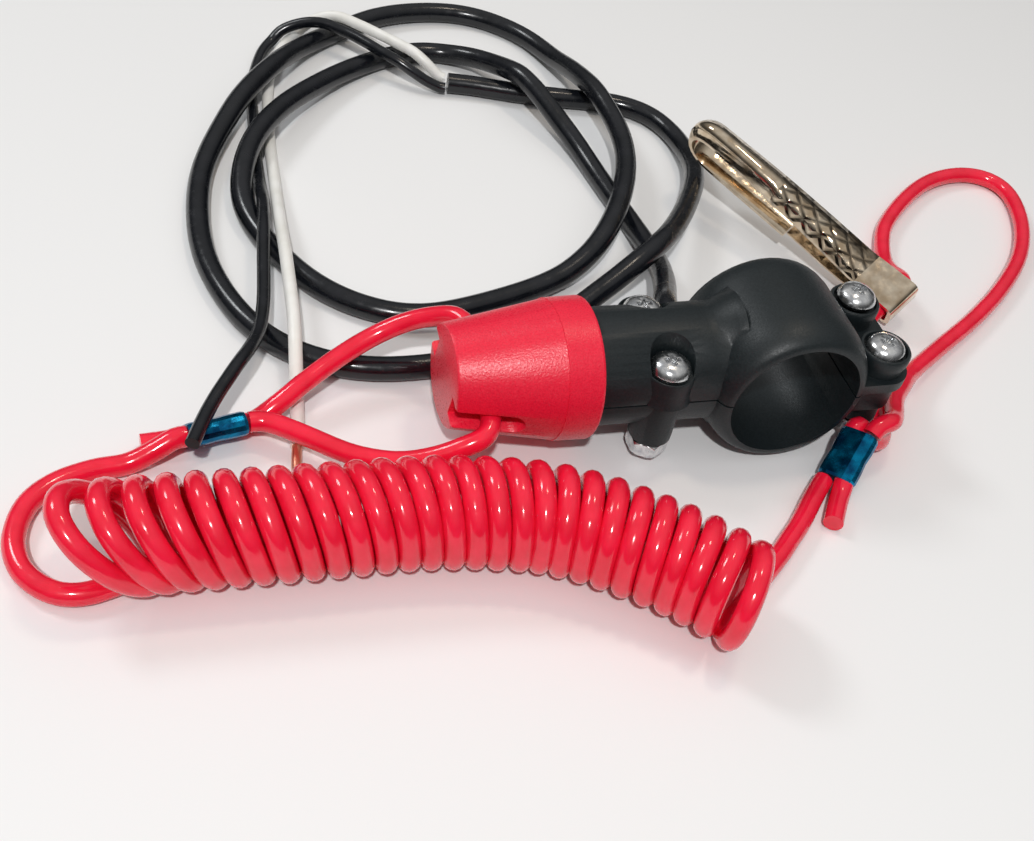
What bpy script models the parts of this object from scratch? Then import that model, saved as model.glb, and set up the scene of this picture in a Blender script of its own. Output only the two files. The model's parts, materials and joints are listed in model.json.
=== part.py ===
"""Engine kill switch with a coiled lanyard, for a 22.2 mm handlebar.

The switch is a moulded clamshell: a clamp ring for the handlebar and a barrel that holds the
contacts, held together by four screws with nuts. A red cap sits on the barrel's nose and keeps
the plunger pressed in. A cord runs through the cap, is crimped to a curly lanyard, and the
lanyard's far end carries a snap clip. Pulling the cap off along -X lets the plunger spring out.

The switch is built around the ring's centre: X runs along the barrel towards the ring, Y along
the handlebar, Z up. The cords lie on the floor, and their heights are counted from the floor.
"""

import math

import bmesh
import bpy
from mathutils import Matrix, Vector

MM = 0.001
GAP = 0.3  # between two pieces that touch

# Clamp ring
BAR_DIAMETER = 22.2
RING_WALL = 2.9
RING_FRONT = 11.4
RING_REAR = 9.9
FRONT_ROLL = 6.0
REAR_ROLL = 4.5
FRONT_LIP = 0.4
REAR_LIP = 1.1

# Barrel and its nose, as distances from the ring's centre towards the cap
BARREL_RADIUS = 9.5
NOSE_RADIUS = 7.6
NOSE_BEAD = 0.3
NOSE_CHAMFER = 0.6
NOSE_LENGTH = 5.9
NECK_RISE = 3.5
NECK_START = 16.5

# Screws
THREAD_RADIUS = 1.75
HEAD_RADIUS = 3.4
HEAD_HEIGHT = 2.3
NUT_FLATS = 6.1
NUT_HEIGHT = 2.5
SCREW_TAIL = 1.1
RECESS_WIDTH = 0.9
RECESS_REACH = 1.9
RECESS_DEPTH = 1.3

# Barrel screw bosses
BARREL_SCREW_BACK = 21.7
BARREL_SCREW_SIDE = 6.7
BARREL_BOSS_RADIUS = 4.2
BARREL_BOSS_TOP = 4.9
BARREL_BOSS_FLARE = 0.6
BARREL_BOSS_FLARE_HEIGHT = 2.6
BARREL_POCKET_RADIUS = 3.85
BARREL_POCKET_FLOOR = 4.3
BARREL_FOOT_RADIUS = 3.6
BARREL_FOOT_RISE = 0.1

# Clamp lug on the far side of the ring
CLAMP_SCREW_OUT = 17.2
CLAMP_SCREW_SIDE = 6.0
LUG_RADIUS = 5.0
LUG_TOP = 2.0
LUG_BOTTOM = 4.6
LUG_FOOT_RADIUS = 4.1
CLAMP_BOSS_RADIUS = 4.4
CLAMP_BOSS_TOP = 5.9
CLAMP_POCKET_RADIUS = 3.8
CLAMP_POCKET_FLOOR = 4.7
CLAMP_FOOT_RADIUS = 3.3
CLAMP_FOOT_BOTTOM = 9.0
REAR_SCREW_PROUD = 0.9

# Switch chamber inside the barrel
CHAMBER_RADIUS = 5.6
NOSE_WALL = 2.0
SCREW_WALL = 1.75
CHAMBER_LENGTH = 16.0
WIRE_POCKET_RADIUS = 5.0
WIRE_POCKET_NEAR = 13.0
WIRE_POCKET_WALL = 0.45
CHANNEL_HEIGHT = 3.2
CABLE_EXIT_BACK = 14.9

# Plunger, contact ring, spring and contacts
TIP_RADIUS = 4.2
FLANGE_THICKNESS = 1.2
PLUNGER_TRAVEL = 2.8
STEM_RADIUS = 2.4
STEM_LENGTH = 5.6
TAIL_RADIUS = 1.5
TAIL_LENGTH = 2.6
CONTACT_RING_THICKNESS = 1.2
CONTACT_RING_LAP = 2.0
SPRING_WIRE = 0.55
SPRING_TURNS = 5
CONTACT_THICKNESS = 0.5
CONTACT_WIDTH = 2.4
CONTACT_TIP = 0.4

# Cap
CAP_LAP = 4.1
CAP_LENGTH = 22.6
CAP_WALL = 1.7
CAP_SKIRT = 6.0
CAP_STEP = 0.15
CAP_SKIRT_DRAFT = 0.3
CAP_TAPER = 2.9
CAP_EDGE = 0.5
CAP_FLOOR_GAP = 0.7
CORD_HOLE_INSET = 6.1
CAP_TURN = 13.5
SLOT_WIDTH = 4.4
SLOT_FLOOR = 5.2
SLOT_LENGTH = 11.0

# Cords
CORD_RADIUS = 1.65
SLEEVE_RADIUS = 2.1
WIRE_RADIUS = 1.15
COIL_RADIUS = 9.6

# Crimps
CRIMP_LENGTH = 9.0
CRIMP_WIDTH = 6.8
CRIMP_THICKNESS = 3.8
CAP_CRIMP_CENTRE = (-90.3, 2.5, 3.15)
CAP_CRIMP_HEADING = 11.7
CAP_CRIMP_ROLL = 49.0
CLIP_CRIMP_CENTRE = (10.95, -16.1, 4.75)
CLIP_CRIMP_HEADING = 43.9
CLIP_CRIMP_RISE = 31.0
CLIP_CRIMP_ROLL = 20.0

# Snap clip, in its own frame: X from the eye to the bend, Z from the lower arm to the upper one
CLIP_PLACE = (37.7, 18.8, 0.9)
CLIP_HEADING = 121.0
CLIP_RISE = 9.0
CLIP_ROLL = 29.0
CLIP_LENGTH = 53.0
CLIP_WIDTH = 5.2
CLIP_STRIP = 0.9
CLIP_HEIGHT = 10.2
EYE_HEIGHT = 6.0
EYE_FLOOR = 5.0
PLATE_LENGTH = 11.0
GRIP_END = 31.5
LOWER_ARM_END = 27.0
ARM_CROWN = 1.7
GRIP_CROWN = 1.1
GATE_STRIP = 0.6
GATE_PIVOT = (6.9, 1.3)
GATE_KNUCKLE = 1.15
GATE_PIN_RADIUS = 0.5
GATE_EAR = 0.55
EAR_RADIUS = 1.45

# Routes on the floor, from the ring's centre, with heights above the floor
SLEEVE_ROUTE = [
    (-14.9, 10.3, 14.0), (-13.3, 15.0, 13.2), (-8.4, 24.6, 8.7), (-4.3, 36.9, 4.2), (-4.1, 48.0, 2.4),
    (-6.0, 63.5, 2.17), (-7.1, 72.0, 2.7), (-9.5, 80.4, 4.4), (-12.4, 86.8, 6.3), (-14.1, 92.0, 7.4),
    (-16.7, 96.6, 7.4), (-19.8, 105.4, 4.7), (-25.9, 112.3, 2.5), (-35.1, 113.2, 2.14),
    (-46.5, 108.0, 2.3), (-58.0, 98.3, 3.5), (-68.1, 86.6, 5.0), (-75.4, 74.5, 5.0),
    (-78.8, 61.0, 3.1), (-76.7, 51.6, 2.19), (-72.9, 42.9, 2.18), (-68.6, 35.9, 2.16),
    (-61.1, 29.7, 2.14), (-51.4, 26.9, 2.13), (-36.0, 30.5, 2.24), (-24.9, 34.2, 3.0),
    (-17.7, 38.4, 4.7), (-12.1, 44.4, 6.2), (-7.0, 52.6, 6.9), (-2.6, 62.0, 6.8), (0.1, 71.7, 6.8),
    (0.4, 81.5, 7.2), (-0.8, 89.9, 7.6), (-1.8, 99.0, 6.0), (-3.3, 109.9, 3.2), (-7.5, 121.2, 2.21),
    (-17.7, 129.2, 2.17), (-29.0, 130.2, 2.23), (-40.3, 127.3, 2.3), (-50.3, 120.9, 2.14),
    (-58.9, 113.6, 3.0), (-67.0, 102.4, 5.0), (-74.3, 92.3, 4.8), (-80.4, 81.2, 3.1),
    (-84.7, 70.7, 2.24), (-86.9, 57.7, 2.13), (-87.1, 46.0, 2.13), (-85.0, 35.4, 2.12),
    (-80.8, 25.6, 2.12), (-74.1, 18.8, 2.12), (-64.7, 14.8, 2.12), (-54.0, 14.4, 2.15),
    (-44.0, 16.0, 2.13), (-33.6, 20.0, 2.4), (-25.8, 23.7, 4.0), (-18.3, 27.1, 6.9),
    (-11.1, 30.8, 9.5), (-5.4, 35.2, 9.9), (0.3, 42.0, 8.5), (5.7, 49.5, 7.0), (11.5, 59.0, 5.6),
    (14.7, 67.0, 4.2), (15.8, 74.5, 2.9), (15.6, 82.1, 2.24), (12.2, 89.6, 2.13), (5.0, 93.4, 2.12),
    (-3.5, 94.6, 2.12), (-10.5, 95.9, 2.12), (-17.7, 97.7, 2.12), (-24.3, 100.1, 2.12),
    (-29.6, 100.9, 2.12),
]
BLACK_ROUTE = [
    (-30.4, 99.6, 1.65), (-31.8, 99.8, 1.7), (-34.6, 100.7, 2.7), (-37.6, 101.9, 4.2),
    (-40.8, 103.9, 5.5), (-44.2, 107.7, 6.0), (-47.5, 112.2, 6.1), (-50.1, 116.0, 6.1),
    (-53.6, 117.2, 6.4), (-56.8, 119.1, 5.8), (-60.2, 119.9, 4.6), (-63.3, 119.9, 3.3),
    (-65.3, 118.6, 1.7), (-67.4, 114.4, 1.2), (-70.1, 105.3, 1.2), (-71.4, 101.5, 1.2),
    (-72.3, 91.3, 1.2), (-73.6, 78.5, 1.25), (-74.4, 67.2, 2.1), (-75.2, 57.2, 5.0),
    (-76.4, 48.9, 6.5), (-77.7, 40.0, 6.5), (-79.1, 29.3, 6.3), (-80.9, 20.8, 6.9), (-84.9, 11.6, 9.1),
    (-88.8, 6.5, 8.8), (-91.2, 2.6, 8.5), (-94.5, -5.0, 8.5),
]
WHITE_ROUTE = [
    (-30.1, 102.5, 2.2), (-31.6, 102.9, 2.6), (-33.9, 104.0, 4.6), (-36.4, 106.3, 6.0),
    (-39.2, 110.0, 6.1), (-42.6, 114.6, 5.9), (-46.3, 118.3, 6.0), (-50.3, 120.7, 6.1),
    (-53.6, 123.7, 4.6), (-56.9, 124.3, 2.7), (-59.7, 120.5, 1.4), (-63.3, 115.5, 1.18),
    (-66.7, 106.5, 1.2), (-68.8, 95.2, 1.18), (-70.6, 79.3, 1.29), (-71.7, 64.6, 2.3),
    (-72.9, 53.3, 4.5), (-73.6, 42.8, 6.2), (-74.3, 33.1, 6.5), (-74.9, 24.0, 6.4), (-75.6, 18.3, 5.6),
    (-76.1, 13.3, 3.4), (-76.5, 9.7, 1.65), (-76.9, 6.0, 1.2), (-77.6, 1.5, 1.2), (-78.7, -3.7, 1.21),
]
CAP_LOOP_ROUTE = [
    (-85.21, 2.35, 4.51), (-83.45, 2.72, 4.51), (-81.0, 1.3, 4.6), (-77.1, -1.7, 4.8),
    (-70.9, -6.8, 5.25), (-64.6, -10.0, 6.3), (-59.1, -11.3, 8.2), (-54.7, -11.5, 10.2),
    (-51.7, -11.2, 11.3), (-50.3, -8.8, 11.9), (-50.0, -5.5, 12.68), (-50.0, 0.0, 14.0),
    (-50.0, 5.5, 15.32), (-50.3, 8.8, 16.1), (-51.7, 11.6, 15.8), (-53.9, 13.4, 14.4),
    (-57.8, 15.2, 12.0), (-63.1, 15.3, 9.3), (-69.5, 12.9, 7.1), (-75.8, 9.0, 5.5), (-80.0, 6.5, 3.8),
    (-83.93, 5.03, 1.79), (-85.69, 4.66, 1.79),
]
CAP_RUN_ROUTE = [
    (-94.91, 0.34, 4.51), (-96.67, -0.03, 4.51), (-99.8, -1.1, 3.3), (-103.6, -1.9, 1.9),
    (-108.7, -2.5, 1.75), (-114.0, -4.5, 1.75), (-117.9, -8.2, 1.75), (-119.8, -13.9, 1.75),
    (-119.2, -19.2, 1.75), (-116.7, -22.9, 1.75), (-113.6, -24.9, 1.75), (-111.2, -25.4, 1.75),
]
CAP_STUB_ROUTE = [(-95.39, 2.65, 1.79), (-97.15, 2.28, 1.78), (-101.4, 2.0, 1.75)]
COIL_ROUTE = [
    (-110.8, -21.8), (-95.3, -22.1), (-81.7, -22.7), (-67.4, -23.2), (-60.1, -23.8), (-52.9, -25.0),
    (-45.9, -27.1), (-39.2, -30.6), (-32.9, -35.2), (-27.0, -40.4), (-20.6, -47.4),
]
CLIP_RUN_ROUTE = [
    (-16.1, -39.9, 1.75), (-12.6, -36.6, 1.75), (-8.8, -32.9, 1.75), (-5.2, -29.7, 1.75),
    (-1.6, -26.4, 1.75), (2.4, -22.1, 1.75), (4.86, -19.59, 1.7), (6.46, -18.07, 1.75),
]
CLIP_STUB_ROUTE = [(8.74, -20.57, 2.65), (7.64, -21.87, 1.98), (4.1, -27.1, 1.75)]
CLIP_LOOP_ROUTE = [
    (15.04, -14.51, 7.9), (16.15, -13.44, 8.83), (18.8, -13.3, 9.0), (21.3, -10.9, 7.8),
    (24.4, -5.9, 6.6), (28.6, -1.6, 5.4), (33.8, 3.2, 3.9), (44.4, 10.5, 2.4), (56.9, 18.5, 1.76),
    (68.0, 26.7, 1.7), (78.1, 36.3, 1.7), (84.9, 46.7, 1.7), (88.0, 57.0, 1.7), (85.9, 62.8, 1.7),
    (79.6, 64.9, 1.7), (70.4, 62.7, 1.7), (60.9, 56.5, 1.7), (51.7, 47.8, 2.1), (46.7, 40.6, 3.6),
    (45.2, 34.0, 6.0), (44.9, 28.7, 7.9), (42.5, 23.9, 8.15), (39.1, 22.1, 6.35), (35.15, 20.2, 4.0),
    (32.8, 19.1, 2.5), (30.6, 16.0, 1.8), (28.6, 11.0, 1.7), (26.6, 5.0, 1.7), (24.9, -1.6, 1.7),
    (23.6, -6.2, 1.75), (21.5, -10.2, 1.9), (18.5, -12.3, 3.0), (16.6, -12.3, 4.2), (15.0, -11.6, 5.9),
    (14.15, -10.68, 7.67), (13.16, -11.63, 6.85),
]

# Worked out from the sizes above
BORE_RADIUS = BAR_DIAMETER / 2
RING_RADIUS = BORE_RADIUS + RING_WALL
HOLE_RADIUS = THREAD_RADIUS + GAP
NUT_RADIUS = NUT_FLATS / math.sqrt(3)
CHAMBER_REAR = BARREL_SCREW_BACK + HOLE_RADIUS + SCREW_WALL
CHAMBER_FRONT = CHAMBER_REAR + CHAMBER_LENGTH
NOSE_END = CHAMBER_FRONT + NOSE_WALL
BARREL_REACH = NOSE_END - NOSE_LENGTH
WIRE_POCKET_FAR = BARREL_SCREW_BACK - HOLE_RADIUS - WIRE_POCKET_WALL
CAP_MOUTH = BARREL_REACH - CAP_LAP
CAP_END = CAP_MOUTH + CAP_LENGTH
CAP_FLOOR = NOSE_END + CAP_FLOOR_GAP
CORD_HOLE_BACK = CAP_END - CORD_HOLE_INSET
BARREL_FOOT_BOTTOM = BARREL_RADIUS - BARREL_FOOT_RISE
CAP_MOUTH_RADIUS = BARREL_RADIUS + GAP + CAP_WALL
CAP_SKIRT_RADIUS = CAP_MOUTH_RADIUS - CAP_SKIRT_DRAFT
CAP_END_RADIUS = CAP_SKIRT_RADIUS - CAP_TAPER
TIP_END = CAP_FLOOR - GAP
FLANGE_FRONT = CHAMBER_FRONT - PLUNGER_TRAVEL - GAP
FLANGE_RADIUS = CHAMBER_RADIUS - GAP
STEM_FRONT = FLANGE_FRONT - FLANGE_THICKNESS
STEM_REAR = STEM_FRONT - STEM_LENGTH
CONTACT_RING_BACK = STEM_REAR + CONTACT_RING_LAP
CONTACT_REACH = CONTACT_RING_BACK + CONTACT_RING_THICKNESS + CONTACT_TIP
SPRING_RADIUS = TAIL_RADIUS + GAP + SPRING_WIRE / 2
CONTACT_RADIUS = CHAMBER_RADIUS - 1.4
LUG_END = CLAMP_SCREW_OUT + LUG_RADIUS

# The origin is under the middle of the switch, so the ring's centre stands here
RING_PLACE = Vector(((CAP_END - LUG_END) / 2, 0, RING_RADIUS))

SIDES = 48
FRONT, REAR = -1, 1


def clear_scene():
    for thing in list(bpy.data.objects):
        bpy.data.objects.remove(thing, do_unlink=True)


def material(name, colour, roughness, metallic=0.0):
    finish = bpy.data.materials.new(name)
    finish.use_nodes = True
    shader = finish.node_tree.nodes["Principled BSDF"]
    shader.inputs["Base Color"].default_value = (*colour, 1.0)
    shader.inputs["Roughness"].default_value = roughness
    shader.inputs["Metallic"].default_value = metallic
    return finish


def empty(name, place, parent=None, turn=None):
    """An empty that carries pieces, at a place in millimetres."""
    holder = bpy.data.objects.new(name, None)
    bpy.context.scene.collection.objects.link(holder)
    holder.parent = parent
    holder.matrix_local = Matrix.Translation(Vector(place) * MM) @ (turn or Matrix())
    return holder


def piece(name, bm, parent, finish=None, smooth=30.0):
    """A mesh object from a bmesh in millimetres; without a finish it is a hidden cutter."""
    bmesh.ops.scale(bm, vec=(MM, MM, MM), verts=bm.verts)
    mesh = bpy.data.meshes.new(name)
    bm.to_mesh(mesh)
    bm.free()
    mesh.shade_smooth()
    mesh.set_sharp_from_angle(angle=math.radians(smooth))
    made = bpy.data.objects.new(name, mesh)
    bpy.context.scene.collection.objects.link(made)
    made.parent = parent
    if finish:
        mesh.materials.append(finish)
    else:
        made.hide_render = True
        made.display_type = "WIRE"
    return made


def combine(target, tool, operation):
    modifier = target.modifiers.new(tool.name, "BOOLEAN")
    modifier.operation = operation
    modifier.object = tool


def turned(profile, axis, sides=SIDES, centre=(0, 0, 0), start=0.0):
    """A solid turned about an axis from points of (distance along the axis, radius)."""
    along = {"X": Vector((1, 0, 0)), "Y": Vector((0, 1, 0)), "Z": Vector((0, 0, 1))}[axis]
    out = {"X": Vector((0, 0, 1)), "Y": Vector((1, 0, 0)), "Z": Vector((1, 0, 0))}[axis]
    out = Matrix.Rotation(math.radians(start), 3, along) @ out
    bm = bmesh.new()
    rim = [bm.verts.new(Vector(centre) + along * a + out * r) for a, r in profile]
    closed = min(r for a, r in profile) > 0
    pairs = list(zip(rim, rim[1:] + rim[:1] if closed else rim[1:]))
    edges = [bm.edges.new(pair) for pair in pairs]
    bmesh.ops.spin(bm, geom=rim + edges, cent=centre, axis=along, angle=2 * math.pi, steps=sides,
                   use_merge=True, use_duplicate=False)
    bmesh.ops.remove_doubles(bm, verts=bm.verts, dist=1e-4)
    bmesh.ops.recalc_face_normals(bm, faces=bm.faces)
    return bm


def rod(radius, low, high, axis, centre=(0, 0, 0), sides=32, start=0.0):
    return turned([(low, 0), (low, radius), (high, radius), (high, 0)], axis, sides, centre, start)


def prism(outline, low, high, axis="Z"):
    """An outline pushed along an axis; its two numbers are the next two axes in X, Y, Z order."""
    order = {"X": lambda a, b, c: (c, a, b), "Y": lambda a, b, c: (a, c, b), "Z": lambda a, b, c: (a, b, c)}
    bm = bmesh.new()
    face = bm.faces.new([bm.verts.new(order[axis](a, b, low)) for a, b in outline])
    grown = bmesh.ops.extrude_face_region(bm, geom=[face])["geom"]
    step = Vector(order[axis](0, 0, high - low))
    bmesh.ops.translate(bm, vec=step, verts=[g for g in grown if isinstance(g, bmesh.types.BMVert)])
    bmesh.ops.recalc_face_normals(bm, faces=bm.faces)
    return bm


def slab(x, y, z):
    return prism([(x[0], y[0]), (x[1], y[0]), (x[1], y[1]), (x[0], y[1])], z[0], z[1])


def joined(*parts):
    """Separate closed shapes in one bmesh, for a cutter that works at several places."""
    whole = bmesh.new()
    for part in parts:
        mesh = bpy.data.meshes.new("part")
        part.to_mesh(mesh)
        part.free()
        whole.from_mesh(mesh)
        bpy.data.meshes.remove(mesh)
    return whole


def quarter(start, end, steps=7):
    """Points of a quarter ellipse from start to end, leaving start across the axis."""
    (a0, r0), (a1, r1) = start, end
    angles = [math.pi / 2 * i / steps for i in range(steps + 1)]
    return [(a1 + (a0 - a1) * math.cos(t), r0 + (r1 - r0) * math.sin(t)) for t in angles]


def smooth_route(points, step, lead=0.0):
    """Points about one step apart on a smooth curve, with one more a short lead from each end."""
    given = [Vector(p) for p in points]
    given = [2 * given[0] - given[1], *given, 2 * given[-1] - given[-2]]
    fine = []
    for a, b, c, d in zip(given, given[1:], given[2:], given[3:]):
        for i in range(12):
            t = i / 12
            fine.append(0.5 * (2 * b + (c - a) * t + (2 * a - 5 * b + 4 * c - d) * t**2
                               + (3 * b - a - 3 * c + d) * t**3))
    fine.append(given[-2])
    total = sum((q - p).length for p, q in zip(fine, fine[1:]))
    count = max(1, round((total - 2 * lead) / step))
    marks = [lead + (total - 2 * lead) * i / count for i in range(count + 1)]
    if not lead:
        marks = marks[1:-1]
    picked, walked = [fine[0]], 0.0
    for p, q in zip(fine, fine[1:]):
        length = (q - p).length
        while marks and walked + length >= marks[0]:
            picked.append(p.lerp(q, (marks.pop(0) - walked) / length))
        walked += length
    return [*picked, fine[-1]]


def tube(name, points, radius, parent, finish, resolution=2):
    curve = bpy.data.curves.new(name, "CURVE")
    curve.dimensions = "3D"
    curve.bevel_depth = radius * MM
    curve.bevel_resolution = resolution
    curve.use_fill_caps = True
    spline = curve.splines.new("POLY")
    spline.points.add(len(points) - 1)
    for target, point in zip(spline.points, points):
        target.co = (*(Vector(point) * MM), 1.0)
    curve.materials.append(finish)
    made = bpy.data.objects.new(name, curve)
    bpy.context.scene.collection.objects.link(made)
    made.parent = parent
    return made


def cord(name, route, radius, parent, finish, spacing=4.0):
    return tube(name, smooth_route(route, spacing * radius, radius), radius, parent, finish)


def ring_blank():
    front = quarter((-RING_FRONT, BORE_RADIUS + FRONT_LIP), (-RING_FRONT + FRONT_ROLL, RING_RADIUS))
    rear = quarter((RING_REAR, BORE_RADIUS + REAR_LIP), (RING_REAR - REAR_ROLL, RING_RADIUS))
    return turned([(-RING_FRONT, 0), *front, *rear[::-1], (RING_REAR, 0)], "Y")


def barrel_blank():
    """The barrel and its nose, turned in one, running on into the ring."""
    bead = NOSE_END - 2.4
    profile = [
        (-NOSE_END, 0), (-NOSE_END, NOSE_RADIUS - NOSE_CHAMFER), (-NOSE_END + NOSE_CHAMFER, NOSE_RADIUS),
        (-bead - NOSE_BEAD, NOSE_RADIUS), (-bead, NOSE_RADIUS + NOSE_BEAD),
        (-bead + 1.0, NOSE_RADIUS + NOSE_BEAD), (-bead + 1.0 + NOSE_BEAD, NOSE_RADIUS),
        (-BARREL_REACH, NOSE_RADIUS), (-BARREL_REACH, BARREL_RADIUS - CAP_EDGE),
        (-BARREL_REACH + CAP_EDGE, BARREL_RADIUS), (-NECK_START + 2.0, BARREL_RADIUS + 0.1),
        (-BORE_RADIUS + 3.0, BARREL_RADIUS + 0.3), (-BORE_RADIUS + 3.0, 0),
    ]
    return turned(profile, "X")


def neck_blank():
    """The neck that sweeps from the barrel up to the ring, flattened along the handlebar."""
    inner = BORE_RADIUS - 2.0
    steps = 6
    profile = [(-NECK_START, 0)]
    for i in range(steps + 1):
        share = i / steps
        profile.append((-NECK_START + (NECK_START - inner) * share, BARREL_RADIUS - 0.3 + NECK_RISE * share**2))
    profile.append((-inner, 0))
    bm = turned(profile, "X")
    bmesh.ops.scale(bm, vec=(1, RING_REAR / (BARREL_RADIUS + NECK_RISE), 1), verts=bm.verts)
    return bm


def barrel_screw(side):
    return (-BARREL_SCREW_BACK, side * BARREL_SCREW_SIDE, 0)


def clamp_screw(side):
    return (CLAMP_SCREW_OUT, side * CLAMP_SCREW_SIDE, 0)


def lug_outline(radius, steps=8):
    """Two rounded corners round the clamp screws, and straight sides running into the ring."""
    corners = []
    for side, first in ((FRONT, -90), (REAR, 0)):
        x, y, _ = clamp_screw(side)
        for i in range(steps + 1):
            angle = math.radians(first + 90 * i / steps)
            corners.append((x + radius * math.cos(angle), y + radius * math.sin(angle)))
    inner = BORE_RADIUS - 1.5
    return [(inner, corners[0][1]), *corners, (inner, corners[-1][1])]


def upper_bosses():
    """Bosses round the screw heads: flared at the seam on the barrel, shouldered on the lug."""
    flare = BARREL_BOSS_RADIUS + BARREL_BOSS_FLARE
    barrel = [(0, 0), (0, flare), (BARREL_BOSS_FLARE_HEIGHT * 0.4, BARREL_BOSS_RADIUS + BARREL_BOSS_FLARE * 0.3),
              (BARREL_BOSS_FLARE_HEIGHT, BARREL_BOSS_RADIUS), (BARREL_BOSS_TOP - 0.3, BARREL_BOSS_RADIUS),
              (BARREL_BOSS_TOP, BARREL_BOSS_RADIUS - 0.15), (BARREL_BOSS_TOP, 0)]
    neck = CLAMP_BOSS_RADIUS - 0.35
    clamp = [(0.5, 0), (0.5, neck), (LUG_TOP + 1.2, neck), (LUG_TOP + 2.2, CLAMP_BOSS_RADIUS),
             (CLAMP_BOSS_TOP - 0.3, CLAMP_BOSS_RADIUS), (CLAMP_BOSS_TOP, CLAMP_BOSS_RADIUS - 0.2), (CLAMP_BOSS_TOP, 0)]
    return [turned(profile, "Z", 32, at(side))
            for profile, at in ((barrel, barrel_screw), (clamp, clamp_screw)) for side in (FRONT, REAR)]


def lower_bosses():
    """Feet that carry the nuts."""
    barrel = [(0, 0), (0, BARREL_FOOT_RADIUS), (-BARREL_FOOT_BOTTOM + 0.4, BARREL_FOOT_RADIUS),
              (-BARREL_FOOT_BOTTOM, BARREL_FOOT_RADIUS - 0.3), (-BARREL_FOOT_BOTTOM, 0)]
    clamp = [(-0.5, 0), (-0.5, LUG_FOOT_RADIUS - 0.5), (-LUG_BOTTOM, LUG_FOOT_RADIUS - 0.3),
             (-LUG_BOTTOM - 0.9, CLAMP_FOOT_RADIUS), (-CLAMP_FOOT_BOTTOM + 0.4, CLAMP_FOOT_RADIUS),
             (-CLAMP_FOOT_BOTTOM, CLAMP_FOOT_RADIUS - 0.3), (-CLAMP_FOOT_BOTTOM, 0)]
    return [turned(profile, "Z", 32, at(side))
            for profile, at in ((barrel, barrel_screw), (clamp, clamp_screw)) for side in (FRONT, REAR)]


def screw_holes():
    return joined(*[rod(HOLE_RADIUS, -20, 20, "Z", at(side), 24, 4)
                    for at in (barrel_screw, clamp_screw) for side in (FRONT, REAR)])


def head_pockets():
    barrel = [rod(BARREL_POCKET_RADIUS, BARREL_POCKET_FLOOR, 20, "Z", barrel_screw(side))
              for side in (FRONT, REAR)]
    clamp = [rod(CLAMP_POCKET_RADIUS, CLAMP_POCKET_FLOOR, 20, "Z", clamp_screw(side))
             for side in (FRONT, REAR)]
    return joined(*barrel, *clamp)


def chamber():
    """The turned hollow for the plunger and its spring, and the mouth that the tip passes."""
    return turned([
        (-NOSE_END - 1, 0), (-NOSE_END - 1, TIP_RADIUS + GAP), (-CHAMBER_FRONT, TIP_RADIUS + GAP),
        (-CHAMBER_FRONT, CHAMBER_RADIUS), (-CHAMBER_REAR, CHAMBER_RADIUS), (-CHAMBER_REAR, 0),
    ], "X", 40)


def contact_side():
    """How far out the contacts pass the screws, between the chamber and the wire pocket."""
    return BARREL_SCREW_SIDE - HOLE_RADIUS - 0.7 - GAP - CONTACT_THICKNESS


def wire_ways():
    """The pocket where the wires meet the contacts, the two channels to it and the cable's exit."""
    near, far = -WIRE_POCKET_NEAR, -WIRE_POCKET_FAR
    pocket = rod(WIRE_POCKET_RADIUS, far, near, "X", sides=40)
    low = contact_side() - GAP
    high = contact_side() + CONTACT_THICKNESS + GAP
    half = CHANNEL_HEIGHT / 2
    reach = (-CHAMBER_REAR - 0.5, far + 0.5)
    channels = [slab(reach, sorted((side * low, side * high)), (-half, half)) for side in (FRONT, REAR)]
    return pocket, joined(*channels), rod(SLEEVE_RADIUS + GAP, 0.5, 20, "Y", (-CABLE_EXIT_BACK, 0, 0), 24)


def housing_half(name, lug, bosses, keep_up, holder, finish):
    """One half of the clamshell, from the same blanks and cutters as the other."""
    half = piece(name, ring_blank(), holder, finish)
    for label, blank in (("barrel", barrel_blank()), ("neck", neck_blank()), ("lug", lug)):
        combine(half, piece(f"{name}_{label}", blank, holder), "UNION")
    for index, boss in enumerate(bosses):
        combine(half, piece(f"{name}_boss_{index}", boss, holder), "UNION")
    bore = rod(BORE_RADIUS, -20, 20, "Y", sides=64)
    pocket, channels, exit_way = wire_ways()
    cuts = {"bore": bore, "holes": screw_holes(), "chamber": chamber(), "pocket": pocket,
            "channels": channels, "exit": exit_way}
    if keep_up:
        cuts["head_pockets"] = head_pockets()
    other = (-40, GAP / 2) if keep_up else (-GAP / 2, 40)
    cuts["seam"] = slab((-80, 60), (-40, 40), other)
    for label, cutter in cuts.items():
        combine(half, piece(f"{name}_{label}", cutter, holder), "DIFFERENCE")
    return half


def cross_recess(height):
    """A cross in a screw head, narrowing downwards to a point."""
    arms = []
    for turn in (0, 90):
        arm = slab((-RECESS_REACH, RECESS_REACH), (-RECESS_WIDTH / 2, RECESS_WIDTH / 2),
                   (height - RECESS_DEPTH, height + 1))
        for vert in arm.verts:
            if vert.co.z < height:
                vert.co.x *= 0.35
        bmesh.ops.rotate(arm, matrix=Matrix.Rotation(math.radians(turn), 3, "Z"), verts=arm.verts)
        arms.append(arm)
    return arms


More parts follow.
